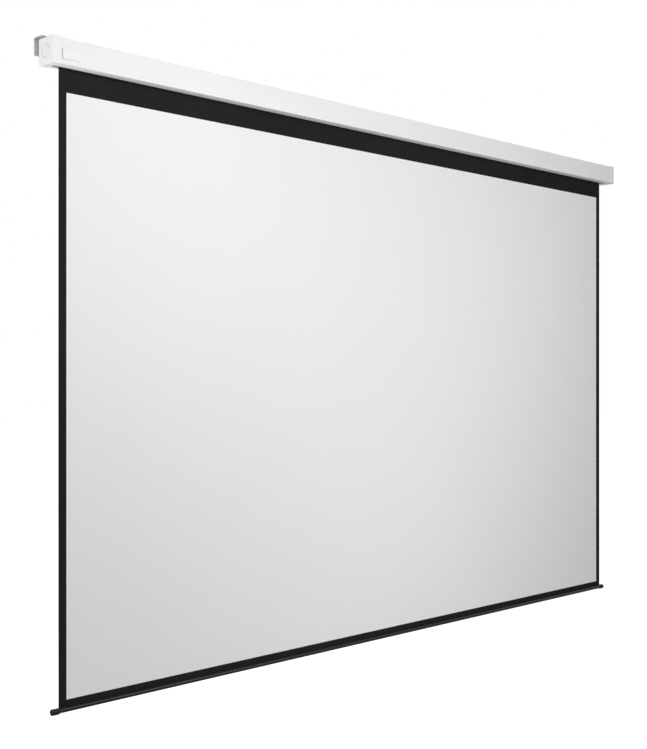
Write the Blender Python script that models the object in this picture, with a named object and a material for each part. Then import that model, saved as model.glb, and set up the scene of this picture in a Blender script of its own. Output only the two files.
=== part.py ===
"""Motorized projector screen: a case with an electric roller, a matt white sheet and a weight bar.

Metres, +Z up. X runs along the screen, the front faces -Y and the wall is the plane Y = 0.
The origin is on the wall, at the ceiling, half way between the two brackets.
"""
import math

import bmesh
import bpy
from mathutils import Vector

# The picture and the sheet around it
PICTURE_WIDTH = 2.650
PICTURE_HEIGHT = 1.656
SIDE_BORDER = 0.025
TOP_BORDER = 0.06475
BOTTOM_BORDER = 0.0203
SHEET_THICKNESS = 0.0005
SHEET_BEHIND_FRONT = 0.0422

# The brackets that hold the case on a wall or a ceiling
BRACKET_THICKNESS = 0.002
BRACKET_WIDTH = 0.070
BRACKET_OVERHANG = 0.012
BRACKET_DEPTH = 0.040
BRACKET_DROP = 0.048
BRACKET_BEND = 0.002
BRACKET_TO_CAP = 0.0005
BRACKET_HOLE = 0.00275
BRACKET_HOLE_HEAD = 0.0045
BRACKET_HOLE_INSET = 0.025
BRACKET_HOLE_SPACING = 0.024

# The case, an aluminium extrusion with an open slot below
CASE_DEPTH = 0.067
CASE_HEIGHT = 0.0695
CASE_WALL = 0.0015
CASE_CORNER = 0.002
CASE_LOW_BACK_CORNER = 0.006
CASE_BEYOND_SHEET = 0.023
SLOT_IN_FRONT_OF_SHEET = 0.0088
PORT_INSET = 0.006
PORT_RADIUS = 0.0036
PORT_BORE = 0.0019
PORT_SLIT = 0.0015

# The rail in the top of the case that the bracket screws grip
RAIL_INNER_WIDTH = 0.012
RAIL_INNER_DEPTH = 0.0045
RAIL_MOUTH = 0.0064
RAIL_RIB_WIDTH = 0.002
RAIL_NUT_LENGTH = 0.012
BRACKET_SCREW_RADIUS = 0.0025
BRACKET_SCREW_HEAD = 0.0045
BRACKET_SCREW_HEAD_HEIGHT = 0.0017

# The lips that the sheet runs past
GUIDE_NOSE = 0.003
GUIDE_FLANGE = 0.0012
GUIDE_FLANGE_LENGTH = 0.0035
GUIDE_END_GAP = 0.013
GUIDE_NOSE_START = 60
GUIDE_NOSE_END = 345
FRONT_LIP_NOSE = 0.0015
FRONT_LIP_FLANGE_LENGTH = 0.009

# The end caps
CAP_STEP = 0.00225
CAP_WIDTH = 0.0222
CAP_WALL = 0.0025
CAP_EDGE = 0.0015
CAP_INNER_CORNER = 0.0008
CAP_TAB_LENGTH = 0.008
CAP_TAB_THICKNESS = 0.0014
CAP_TAB_WIDTH = 0.022
CAP_LOW_TAB_WIDTH = 0.014
COVER_RADIUS = 0.018
COVER_THICKNESS = 0.0022
COVER_SLEEVE = 0.0015
COVER_SLEEVE_DEPTH = 0.0035

# The end plates and what fixes them
PLATE_THICKNESS = 0.0025
PLATE_CORNER = 0.002
PLATE_SCREW_HOLE = 0.0021
PLATE_SCREW_RADIUS = 0.0016
PLATE_SCREW_LENGTH = 0.012
PLATE_SCREW_HEAD = 0.0034
PLATE_SCREW_HEAD_HEIGHT = 0.0022
PLATE_SCREW_CROWN = 0.0024

# The badge, left blank
BADGE_WIDTH = 0.059
BADGE_HEIGHT = 0.028
BADGE_THICKNESS = 0.0016
BADGE_CORNER = 0.003
BADGE_FROM_CASE_END = 0.0085
BADGE_BELOW_TOP = 0.04225

# The roller
ROLLER_WALL = 0.0015
ROLLER_BEYOND_SHEET = 0.006
GROOVE_WIDTH = 0.008
GROOVE_DEPTH = 0.0008
STRIP_WIDTH = 0.0072
STRIP_THICKNESS = 0.0004
WOUND_LAYER = 0.0009

# The motor inside the roller's left end
MOTOR_TUBE_RADIUS = 0.0175
MOTOR_TUBE_WALL = 0.001
MOTOR_HEAD_RIM = 0.0045
MOTOR_NECK_LENGTH = 0.018
MOTOR_BOSS_WEB = 0.0019
MOTOR_BOSS_LENGTH = 0.005
HEAD_SCREW_LENGTH = 0.010
SWITCH_BLOCK_LENGTH = 0.060
SWITCH_BLOCK_HEIGHT = 0.024
CAPACITOR_LENGTH = 0.055
CAPACITOR_ROOM = 0.0022
SHIELD_LENGTH = 0.008
STATOR_LENGTH = 0.090
STATOR_WALL = 0.0069
ROTOR_AIR_GAP = 0.0003
ROTOR_SHAFT_RADIUS = 0.003
ROTOR_BUSH_WALL = 0.0025
BRAKE_LENGTH = 0.024
BRAKE_BORE = 0.004
BRAKE_DISC_ROOM = 0.0032
BRAKE_DISC_THICKNESS = 0.003
GEARBOX_LENGTH = 0.085
GEARBOX_BORE_DEPTH = 0.010
OUTPUT_SHAFT_RADIUS = 0.005
OUTPUT_SHAFT_LENGTH = 0.044
DRIVE_WHEEL_LENGTH = 0.026
SHAFT_CLIP_WALL = 0.003
SHAFT_CLIP_THICKNESS = 0.0012
SHAFT_BEYOND_CLIP = 0.0015
CROWN_LENGTH = 0.012
CROWN_WALL = 0.0029
LIMIT_SCREW_RADIUS = 0.0025
LIMIT_SCREW_LENGTH = 0.014
LIMIT_SCREW_FROM_EDGE = 0.0025
LIMIT_SCREW_SLOT = 0.0008
LIMIT_SCREW_PROUD = 0.0015

# The idler in the roller's right end
PLUG_LENGTH = 0.066
PLUG_FLANGE = 0.0022
PLUG_FLOOR = 0.008
PIN_RADIUS = 0.006
PIN_HEAD_RADIUS = 0.0075
PIN_HEAD_LENGTH = 0.012
PIN_REACH = 0.0032
PIN_RUNNING_GAP = 0.00015
STOP_RING_THICKNESS = 0.003
SPRING_WIRE = 0.0006
SPRING_RADIUS = 0.0061
SPRING_TURNS = 6
BUSH_WALL = 0.0026
BUSH_FLANGE = 0.0025
BUSH_FLANGE_THICKNESS = 0.0015

# The supply
TERMINAL_LENGTH = 0.013
TERMINAL_DEPTH = 0.022
TERMINAL_HEIGHT = 0.010
TERMINAL_SCREW_RADIUS = 0.0022
TERMINAL_PITCH = 0.006
TERMINAL_WELL_DEPTH = 0.00333
LEAD_RADIUS = 0.0025
LEAD_BEND = 0.0048
LEAD_BEND_STEPS = 8
GROMMET_BORE = 0.0022
GROMMET_WALL = 0.0015
GROMMET_FLANGE = 0.0018
GROMMET_FLANGE_THICKNESS = 0.0009
GROMMET_ABOVE_BOTTOM = 0.0145

# The weight bar
BAR_RADIUS = 0.00675
BAR_WALL = 0.0012
BAR_SLOT = 0.0015
ROD_RADIUS = 0.0025
ROD_SHORT_OF_SHEET = 0.005
HEM_START = 130
HEM_END = 400
BAR_CAP_RADIUS = 0.009
BAR_CAP_LENGTH = 0.0225
BAR_CAP_WALL = 0.003
BAR_CAP_EDGE = 0.0015

# The clearance between pieces that touch
GAP = 0.0003

# The number of sides of round pieces
WIDE_ROUND = 40
ROUND = 32
SMALL_ROUND = 16

# Places that follow from the sizes above
sheet_half = PICTURE_WIDTH / 2 + SIDE_BORDER
case_half = sheet_half + CASE_BEYOND_SHEET
cap_inner_face = case_half + GAP
cap_outer_face = cap_inner_face + CAP_WIDTH
bracket_outer = cap_outer_face + BRACKET_OVERHANG
cap_back = -(BRACKET_THICKNESS + BRACKET_TO_CAP)
cap_top = -(BRACKET_THICKNESS + BRACKET_TO_CAP)
case_back = cap_back - CAP_STEP
case_top = cap_top - CAP_STEP
case_front = case_back - CASE_DEPTH
case_bottom = case_top - CASE_HEIGHT
cap_front = case_front - CAP_STEP
cap_bottom = case_bottom - CAP_STEP
inner_back = case_back - CASE_WALL
inner_front = case_front + CASE_WALL
inner_top = case_top - CASE_WALL
inner_bottom = case_bottom + CASE_WALL
axis_y = (case_front + case_back) / 2
axis_z = (case_top + case_bottom) / 2
sheet_y = case_front + SHEET_BEHIND_FRONT
picture_top = case_bottom - TOP_BORDER
picture_bottom = picture_top - PICTURE_HEIGHT
bar_z = picture_bottom - BOTTOM_BORDER - BAR_RADIUS
roller_half = sheet_half + ROLLER_BEYOND_SHEET
roller_radius = MOTOR_TUBE_RADIUS + CROWN_WALL + 2 * GAP + ROLLER_WALL
motor_fit = MOTOR_TUBE_RADIUS - MOTOR_TUBE_WALL - GAP
screw_circle = MOTOR_TUBE_RADIUS - LIMIT_SCREW_FROM_EDGE
limit_screw_access = LIMIT_SCREW_RADIUS + 2 * GAP
motor_boss_radius = screw_circle - limit_screw_access - MOTOR_BOSS_WEB
guide_y = sheet_y + SHEET_THICKNESS / 2 + GAP + GUIDE_NOSE
guide_z = case_bottom + GUIDE_NOSE
slot_front = sheet_y - SLOT_IN_FRONT_OF_SHEET
slot_back = guide_y + GUIDE_NOSE + GAP
low_tab_y = (inner_front + PORT_INSET + PORT_RADIUS + slot_front) / 2 - FRONT_LIP_NOSE
plate_inner = case_half + GAP
plate_outer = plate_inner + PLATE_THICKNESS
ports = (
    (inner_front + PORT_INSET, inner_top - PORT_INSET, -1, 1),
    (inner_front + PORT_INSET, inner_bottom + PORT_INSET, -1, -1),
    (inner_back - PORT_INSET, inner_bottom + PORT_INSET, 1, -1),
)


def clear_scene():
    for thing in list(bpy.data.objects):
        bpy.data.objects.remove(thing)


def finish(name, colour, roughness, metallic=0.0):
    """A plain material for one sub-part."""
    made = bpy.data.materials.new(name)
    made.use_nodes = True
    shader = made.node_tree.nodes["Principled BSDF"]
    shader.inputs["Base Color"].default_value = (*colour, 1.0)
    shader.inputs["Roughness"].default_value = roughness
    shader.inputs["Metallic"].default_value = metallic
    made.diffuse_color = (*colour, 1.0)
    return made


def add(name, shape, look, pivot=(0.0, 0.0, 0.0), smooth=False):
    """Turns a bmesh into an object whose origin is at pivot."""
    bmesh.ops.remove_doubles(shape, verts=shape.verts, dist=1e-7)
    bmesh.ops.recalc_face_normals(shape, faces=shape.faces)
    bmesh.ops.translate(shape, verts=shape.verts, vec=-Vector(pivot))
    mesh = bpy.data.meshes.new(name)
    shape.to_mesh(mesh)
    shape.free()
    if smooth:
        mesh.shade_smooth()
        mesh.set_sharp_from_angle(angle=math.radians(30))
    piece = bpy.data.objects.new(name, mesh)
    piece.location = pivot
    bpy.context.scene.collection.objects.link(piece)
    if look:
        mesh.materials.append(look)
    return piece


def arc(y, z, radius, start, end, steps):
    """Points of an arc in the YZ plane, from one angle in degrees to another."""
    angles = [math.radians(start + (end - start) * i / steps) for i in range(steps + 1)]
    return [(y + radius * math.cos(a), z + radius * math.sin(a)) for a in angles]


def prism(outline, x_start, x_end):
    """A closed solid with a YZ outline, along X."""
    shape = bmesh.new()
    base = shape.faces.new([shape.verts.new((x_start, y, z)) for y, z in outline])
    made = bmesh.ops.extrude_face_region(shape, geom=[base])
    moved = [part for part in made["geom"] if isinstance(part, bmesh.types.BMVert)]
    bmesh.ops.translate(shape, verts=moved, vec=(x_end - x_start, 0.0, 0.0))
    return shape


def turned(profile, y, z, side=1, steps=ROUND):
    """A solid turned about a line along X through (y, z). The profile holds (x, radius) points.

    A closed ring profile gives a tube, and one that starts and ends at radius 0 a full solid.
    """
    shape = bmesh.new()
    points = [shape.verts.new((side * x, y + radius, z)) for x, radius in profile]
    edges = [shape.edges.new(pair) for pair in zip(points, points[1:])]
    if profile[0][1] > 0.0:
        edges.append(shape.edges.new((points[-1], points[0])))
    bmesh.ops.spin(
        shape,
        geom=points + edges,
        cent=(0.0, y, z),
        axis=(1.0, 0.0, 0.0),
        angle=math.tau,
        steps=steps,
    )
    bmesh.ops.remove_doubles(shape, verts=shape.verts, dist=1e-6)
    return shape


def block(low, high):
    """A box between two corners."""
    shape = bmesh.new()
    bmesh.ops.create_cube(shape, size=1.0)
    size = [b - a for a, b in zip(low, high)]
    middle = [(a + b) / 2 for a, b in zip(low, high)]
    bmesh.ops.scale(shape, verts=shape.verts, vec=size)
    bmesh.ops.translate(shape, verts=shape.verts, vec=middle)
    return shape


def ring(inner, outer, x_start, x_end):
    """The profile of a tube."""
    return [(x_start, inner), (x_start, outer), (x_end, outer), (x_end, inner)]


def rod(radius, x_start, x_end):
    """The profile of a full round bar."""
    return [(x_start, 0.0), (x_start, radius), (x_end, radius), (x_end, 0.0)]


def cutter(name, shape):
    """A helper that only shapes another piece."""
    helper = add(name, shape, None)
    helper.hide_render = True
    helper.display_type = "WIRE"
    return helper


def combine(piece, helper, operation="DIFFERENCE"):
    change = piece.modifiers.new(helper.name, "BOOLEAN")
    change.operation = operation
    change.solver = "EXACT"
    change.object = helper


def merge(shapes):
    """Several loose shapes in one bmesh, for a cutter."""
    whole = bmesh.new()
    for shape in shapes:
        mesh = bpy.data.meshes.new("piece")
        shape.to_mesh(mesh)
        shape.free()
        whole.from_mesh(mesh)
        bpy.data.meshes.remove(mesh)
    return whole


def rounded_rectangle(y_low, y_high, z_low, z_high, corners, steps=4):
    """Outline with its own radius at each corner: back top, front top, front bottom, back bottom."""
    places = (
        (y_high, z_high, -1, -1, 0),
        (y_low, z_high, 1, -1, 90),
        (y_low, z_low, 1, 1, 180),
        (y_high, z_low, -1, 1, 270),
    )
    outline = []
    for (y, z, inward_y, inward_z, start), radius in zip(places, corners):
        centre_y = y + inward_y * radius
        centre_z = z + inward_z * radius
        outline += arc(centre_y, centre_z, radius, start, start + 90, steps)
    return outline


def port_outline(y, z, out_y, out_z):
    """A screw port that fills a corner of the case, from the wall above or below it to the one beside it."""
    half_slit = PORT_SLIT / 2
    nose_gap = math.degrees(math.asin(half_slit / PORT_RADIUS))
    bore_gap = math.degrees(math.asin(half_slit / PORT_BORE))
    local = [(-PORT_RADIUS, PORT_INSET)]
    local += arc(0.0, 0.0, PORT_RADIUS, 180, 225 - nose_gap, 2)
    local += arc(0.0, 0.0, PORT_BORE, 225 - bore_gap, -135 + bore_gap, 12)
    local += arc(0.0, 0.0, PORT_RADIUS, 225 + nose_gap, 270, 2)
    local.append((PORT_INSET, -PORT_RADIUS))
    return [(y + out_y * u, z + out_z * v) for u, v in local]


def case_outline():
    """The whole section of the extrusion, from the front edge of its slot round to the same edge."""
    rail_top = -(BRACKET_THICKNESS + GAP)
    rail_y = inner_back - RAIL_INNER_WIDTH / 2
    mouth_front = rail_y - RAIL_MOUTH / 2
    mouth_back = rail_y + RAIL_MOUTH / 2
    rail_front = inner_back - RAIL_INNER_WIDTH
    rail_floor = inner_top - RAIL_INNER_DEPTH
    outline = [(slot_front, case_bottom)]
    outline += arc(case_front + CASE_CORNER, case_bottom + CASE_CORNER, CASE_CORNER, -90, -180, 4)
    outline += arc(case_front + CASE_CORNER, case_top - CASE_CORNER, CASE_CORNER, 180, 90, 4)
    outline += [
        (mouth_front - RAIL_RIB_WIDTH, case_top),
        (mouth_front - RAIL_RIB_WIDTH, rail_top),
        (mouth_front, rail_top),
        (mouth_front, inner_top),
        (rail_front, inner_top),
        (rail_front, rail_floor),
        (inner_back, rail_floor),
        (inner_back, inner_top),
        (mouth_back, inner_top),
        (mouth_back, rail_top),
        (mouth_back + RAIL_RIB_WIDTH, rail_top),
        (mouth_back + RAIL_RIB_WIDTH, case_top),
    ]
    outline += arc(case_back - CASE_CORNER, case_top - CASE_CORNER, CASE_CORNER, 90, 0, 4)
    low_back = CASE_LOW_BACK_CORNER
    outline += arc(case_back - low_back, case_bottom + low_back, low_back, 0, -90, 6)
    outline += [(slot_back, case_bottom), (slot_back, inner_bottom)]
    outline += port_outline(*ports[2])
    outline += [
        (inner_back, rail_floor - CASE_WALL),
        (rail_front - CASE_WALL, rail_floor - CASE_WALL),
        (rail_front - CASE_WALL, inner_top),
    ]
    outline += port_outline(*ports[0])
    outline += reversed(port_outline(*ports[1]))
    outline.append((slot_front, inner_bottom))
    return outline


def thick_line(path, thickness):
    """The outline of a bent strip of even thickness around a path of YZ points."""
    near, far = [], []
    for i, point in enumerate(path):
        before = Vector(path[max(i - 1, 0)])
        after = Vector(path[min(i + 1, len(path) - 1)])
        here = Vector(point)
        along = (after - before).normalized()
        across = Vector((-along.y, along.x)) * thickness / 2
        near.append(tuple(here + across))
        far.append(tuple(here - across))
    return near + far[::-1]


def rod_centre():
    """The rod lies under the bar's slot, with the hem of the sheet round it."""
    hem = ROD_RADIUS + GAP + SHEET_THICKNESS
    return bar_z + BAR_RADIUS - BAR_WALL - GAP - hem


def sheet_path():
    """The sheet's middle line: off the back of the roll, past the guide, down, and round the rod."""
    roll = Vector((axis_y, axis_z))
    nose = Vector((guide_y, guide_z))
    roll_radius = roller_radius + WOUND_LAYER + 2 * GAP + SHEET_THICKNESS / 2
    nose_radius = GUIDE_NOSE + GAP + SHEET_THICKNESS / 2
    between = nose - roll
    heading = math.atan2(between.y, between.x)
    lean = math.acos((roll_radius + nose_radius) / between.length)
    leave = heading + lean
    path = [(roll.x + roll_radius * math.cos(leave), roll.y + roll_radius * math.sin(leave))]
    path += arc(nose.x, nose.y, nose_radius, math.degrees(leave) + 180, 180, 6)
    hem_radius = ROD_RADIUS + GAP + SHEET_THICKNESS / 2
    hem_z = rod_centre()
    path.append((sheet_y, bar_z + BAR_RADIUS))
    path.append((sheet_y, hem_z + hem_radius + GAP))
    path += arc(sheet_y, hem_z, hem_radius, HEM_START, HEM_END, 12)
    return path


def make_case():
    look = finish("white_paint", (0.86, 0.86, 0.86), 0.45)
    add("case_shell", prism(case_outline(), -case_half, case_half), look)


def make_lips():
    """The rounded plastic lips at the two edges of the slot."""
    look = finish("grey_plastic", (0.42, 0.42, 0.43), 0.5)
    half = case_half - GUIDE_END_GAP
    flange_low = inner_bottom + GAP
    flange_high = flange_low + GUIDE_FLANGE
    back = slot_back + GUIDE_FLANGE_LENGTH
    guide = arc(guide_y, guide_z, GUIDE_NOSE, GUIDE_NOSE_START, GUIDE_NOSE_END, 14)
    guide += [
        (guide_y + GUIDE_NOSE, flange_low),
        (back, flange_low),
        (back, flange_high),
    ]
    add("slot_guide", prism(guide, -half, half), look)
    nose_y = slot_front + GAP + FRONT_LIP_NOSE
    nose_z = case_bottom + FRONT_LIP_NOSE
    front = slot_front - FRONT_LIP_FLANGE_LENGTH
    lip = arc(nose_y, nose_z, FRONT_LIP_NOSE, -180, 0, 8)
    lip += [
        (nose_y + FRONT_LIP_NOSE, flange_high),
        (front, flange_high),
        (front, flange_low),
        (nose_y - FRONT_LIP_NOSE, flange_low),
    ]
    add("front_lip", prism(lip, -half, half), look)


def cap_outline(inset):
    """The section of an end cap, drawn in by a wall."""
    low_back = CASE_LOW_BACK_CORNER + CAP_STEP
    radii = (CASE_CORNER, CASE_CORNER, CASE_CORNER, low_back)
    corners = [max(radius - inset, CAP_INNER_CORNER) for radius in radii]
    return rounded_rectangle(
        cap_front + inset, cap_back - inset, cap_bottom + inset, cap_top - inset, corners
    )


def cap_shape(side):
    """The full block of an end cap, with the edge of its outer face rounded."""
    shape = prism(cap_outline(0.0), side * cap_inner_face, side * cap_outer_face)
    rim = [
        edge
        for edge in shape.edges
        if all(abs(abs(v.co.x) - cap_outer_face) < 1e-6 for v in edge.verts)
    ]
    bmesh.ops.bevel(
        shape, geom=rim, offset=CAP_EDGE, segments=3, profile=0.5, affect="EDGES", clamp_overlap=True
    )
    return shape


def cap_tabs(side):
    """Four tongues that slip inside the case walls and keep the cap on."""
    inner = side * (cap_inner_face - CAP_TAB_LENGTH)
    outer = side * (cap_outer_face - CAP_WALL / 2)
    x_low, x_high = min(inner, outer), max(inner, outer)
    reach = GAP + CAP_TAB_THICKNESS
    half = CAP_TAB_WIDTH / 2
    low_half = CAP_LOW_TAB_WIDTH / 2
    return [
        block((x_low, inner_front + GAP, axis_z - half), (x_high, inner_front + reach, axis_z + half)),
        block((x_low, inner_back - reach, axis_z - half), (x_high, inner_back - GAP, axis_z + half)),
        block((x_low, axis_y - half, inner_top - reach), (x_high, axis_y + half, inner_top - GAP)),
        block(
            (x_low, low_tab_y - low_half, inner_bottom + GAP),
            (x_high, low_tab_y + low_half, inner_bottom + reach),
        ),
    ]


def make_cap(name, side):
    look = finish(name + "_plastic", (0.84, 0.84, 0.84), 0.4)
    cap = add(name, cap_shape(side), look)
    floor = side * (cap_outer_face - CAP_WALL)
    beyond = side * (cap_inner_face - CAP_WALL)
    hollow = cutter(name + "_hollow", prism(cap_outline(CAP_WALL), beyond, floor))
    combine(cap, hollow)
    hole = rod(COVER_RADIUS + GAP, cap_outer_face - 2 * CAP_WALL, cap_outer_face + CAP_WALL)
    combine(cap, cutter(name + "_pin_hole", turned(hole, axis_y, axis_z, side)))
    for number, tab in enumerate(cap_tabs(side)):
        combine(cap, cutter(f"{name}_tab_{number}", tab), "UNION")
    return cap


def make_cover(name, side):
    """The round cover over the roller's pin, with a short sleeve behind it."""
    look = finish(name + "_plastic", (0.84, 0.84, 0.84), 0.4)
    front = cap_outer_face
    back = front - COVER_THICKNESS
    sleeve_end = back - COVER_SLEEVE_DEPTH
    profile = [
        (front, 0.0),
        (front, COVER_RADIUS - GAP),
        (front - GAP, COVER_RADIUS),
        (sleeve_end, COVER_RADIUS),
        (sleeve_end, COVER_RADIUS - COVER_SLEEVE),
        (back, COVER_RADIUS - COVER_SLEEVE),
        (back, 0.0),
    ]
    add(name, turned(profile, axis_y, axis_z, side), look, smooth=True)


def make_badge():
    """A bare plate on the front of the case, near its left end."""
    look = finish("badge_plastic", (0.80, 0.80, 0.80), 0.3)
    x_low = -case_half + BADGE_FROM_CASE_END
    z_middle = case_top - BADGE_BELOW_TOP
    outline = rounded_rectangle(
        x_low,
        x_low + BADGE_WIDTH,
        z_middle - BADGE_HEIGHT / 2,
        z_middle + BADGE_HEIGHT / 2,
        [BADGE_CORNER] * 4,
    )
    shape = bmesh.new()
    back = case_front - GAP
    base = shape.faces.new([shape.verts.new((x, back, z)) for x, z in outline])
    made = bmesh.ops.extrude_face_region(shape, geom=[base])
    moved = [part for part in made["geom"] if isinstance(part, bmesh.types.BMVert)]
    bmesh.ops.translate(shape, verts=moved, vec=(0.0, -BADGE_THICKNESS, 0.0))
    add("badge_plate", shape, look)


def screw_line():
    """Y of the line of the bracket screws, in the middle of the rail's mouth."""
    return inner_back - RAIL_INNER_WIDTH / 2


def turned_down(profile, x, y, steps=SMALL_ROUND):
    """A solid turned about a vertical line through (x, y). The profile holds (z, radius) points."""
    shape = bmesh.new()
    points = [shape.verts.new((x + radius, y, z)) for z, radius in profile]
    edges = [shape.edges.new(pair) for pair in zip(points, points[1:])]
    if profile[0][1] > 0.0:
        edges.append(shape.edges.new((points[-1], points[0])))
    bmesh.ops.spin(
        shape,
        geom=points + edges,
        cent=(x, y, 0.0),
        axis=(0.0, 0.0, 1.0),
        angle=math.tau,
        steps=steps,
    )
    bmesh.ops.remove_doubles(shape, verts=shape.verts, dist=1e-6)
    return shape


def turned_back(profile, x, z, steps=SMALL_ROUND):
    """A solid turned about a line along Y through (x, z). The profile holds (y, radius) points."""
    shape = bmesh.new()
    points = [shape.verts.new((x + radius, y, z)) for y, radius in profile]
    edges = [shape.edges.new(pair) for pair in zip(points, points[1:])]
    if profile[0][1] > 0.0:
        edges.append(shape.edges.new((points[-1], points[0])))
    bmesh.ops.spin(
        shape,
        geom=points + edges,
        cent=(x, 0.0, z),
        axis=(0.0, 1.0, 0.0),
        angle=math.tau,
        steps=steps,
    )
    bmesh.ops.remove_doubles(shape, verts=shape.verts, dist=1e-6)
    return shape


def bracket_outline():
    """An L of bent plate, its corner at the wall and the ceiling."""
    thick = BRACKET_THICKNESS
    bend = BRACKET_BEND
    outline = [(-BRACKET_DEPTH, 0.0)]
    outline += arc(-thick - bend, -thick - bend, thick + bend, 90, 0, 4)
    outline += [(0.0, -BRACKET_DROP), (-thick, -BRACKET_DROP)]
    outline += arc(-thick - bend, -thick - bend, bend, 0, 90, 3)
    outline.append((-BRACKET_DEPTH, -thick))
    return outline


def make_bracket(name, side):
    """A steel bracket with its countersunk screw and the nut that slides in the case's rail."""
    steel = finish(name + "_steel", (0.42, 0.43, 0.45), 0.45, 0.6)
    x_low = bracket_outer - BRACKET_WIDTH
    bracket = add(name, prism(bracket_outline(), side * x_low, side * bracket_outer), steel)
    hole_x = side * (bracket_outer - BRACKET_HOLE_INSET)
    middle_z = -BRACKET_DROP / 2
    middle_y = -BRACKET_DEPTH / 2
    half = BRACKET_HOLE_SPACING / 2
    through = 2 * BRACKET_THICKNESS
    sink_depth = BRACKET_HOLE_HEAD - BRACKET_HOLE
    hole = [
        (-through, 0.0),
        (-through, BRACKET_HOLE_HEAD),
        (-BRACKET_THICKNESS, BRACKET_HOLE_HEAD),
        (sink_depth - BRACKET_THICKNESS, BRACKET_HOLE),
        (through, BRACKET_HOLE),
        (through, 0.0),
    ]
    holes = [turned_back(hole, hole_x, middle_z + end * half) for end in (-1, 1)]
    holes += [turned_down(hole, hole_x, middle_y + end * half) for end in (-1, 1)]
    screw_x = side * (x_low + case_half) / 2
    screw_y = screw_line()
    seat = BRACKET_SCREW_HEAD + GAP
    shank_hole = BRACKET_SCREW_RADIUS + GAP
    sunk = [
        (through, 0.0),
        (through, seat),
        (0.0, seat),
        (-BRACKET_SCREW_HEAD_HEIGHT, shank_hole),
        (-through, shank_hole),
        (-through, 0.0),
    ]
    holes.append(turned_down(sunk, screw_x, screw_y))
    combine(bracket, cutter(name + "_holes", merge(holes)))

    nut_top = inner_top - GAP
    nut_bottom = inner_top - RAIL_INNER_DEPTH + GAP
    nut_half = RAIL_INNER_WIDTH / 2 - GAP
    nut_name = name.replace("bracket", "rail_nut")
    nut = add(
        nut_name,
        block(
            (screw_x - RAIL_NUT_LENGTH / 2, screw_y - nut_half, nut_bottom),
            (screw_x + RAIL_NUT_LENGTH / 2, screw_y + nut_half, nut_top),
        ),
        finish(nut_name + "_zinc", (0.62, 0.62, 0.60), 0.4, 0.9),
    )
    bore = [(0.0, 0.0), (0.0, shank_hole), (nut_bottom * 2, shank_hole), (nut_bottom * 2, 0.0)]
    combine(nut, cutter(nut_name + "_bore", turned_down(bore, screw_x, screw_y)))

    screw_name = name + "_screw"
    head_low = -BRACKET_SCREW_HEAD_HEIGHT
    screw = [
        (0.0, 0.0),
        (0.0, BRACKET_SCREW_HEAD),
        (head_low, BRACKET_SCREW_RADIUS),
        (nut_bottom, BRACKET_SCREW_RADIUS),
        (nut_bottom, 0.0),
    ]
    add(
        screw_name,
        turned_down(screw, screw_x, screw_y),
        finish(screw_name + "_zinc", (0.62, 0.62, 0.60), 0.35, 0.9),
        smooth=True,
    )


def plate_outline():
    inset = 2 * GAP + CAP_TAB_THICKNESS + GAP
    return rounded_rectangle(
        inner_front + inset, inner_back - inset, inner_bottom + inset, inner_top - inset,
        [PLATE_CORNER] * 4, 3,
    )


def add_plate_screw(name, y, z, side, length):
    """A pan head screw on the outside of an end plate."""
    seat = plate_outer + GAP
    head_end = seat + PLATE_SCREW_HEAD_HEIGHT
    profile = [
        (head_end, 0.0),
        (head_end, PLATE_SCREW_CROWN),
        (seat + PLATE_SCREW_HEAD_HEIGHT / 2, PLATE_SCREW_HEAD),
        (seat, PLATE_SCREW_HEAD),
        (seat, PLATE_SCREW_RADIUS),
        (seat - length, PLATE_SCREW_RADIUS),
        (seat - length, 0.0),
    ]
    look = finish(name + "_zinc", (0.65, 0.65, 0.63), 0.35, 0.9)
    add(name, turned(profile, y, z, side, SMALL_ROUND), look, smooth=True)


def make_end_plate(name, side, centre_hole, more_holes=()):
    """The steel plate screwed to the end of the case, which carries one end of the roller."""
    look = finish(name + "_steel", (0.55, 0.56, 0.57), 0.4, 0.9)
    plate = add(name, prism(plate_outline(), side * plate_inner, side * plate_outer), look)
    before = plate_inner - PLATE_THICKNESS
    after = plate_outer + PLATE_THICKNESS
    holes = [turned(rod(centre_hole, before, after), axis_y, axis_z, side)]
    for y, z, _, _ in ports:
        holes.append(turned(rod(PLATE_SCREW_HOLE, before, after), y, z, side, SMALL_ROUND))
    for y, z, radius in more_holes:
        holes.append(turned(rod(radius, before, after), y, z, side, SMALL_ROUND))
    combine(plate, cutter(name + "_holes", merge(holes)))
    for number, (y, z, _, _) in enumerate(ports, 1):
        screw_name = name.replace("end_plate", "plate_screw") + f"_{number}"
        add_plate_screw(screw_name, y, z, side, PLATE_SCREW_LENGTH)


def limit_screw_places():
    """The two adjusting screws sit one on each side of the boss of the motor head."""
    return ((axis_y - screw_circle, axis_z), (axis_y + screw_circle, axis_z))


def head_screw_places():
    """The two screws that fix the motor head sit above and below its boss."""
    return ((axis_y, axis_z - screw_circle), (axis_y, axis_z + screw_circle))


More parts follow.
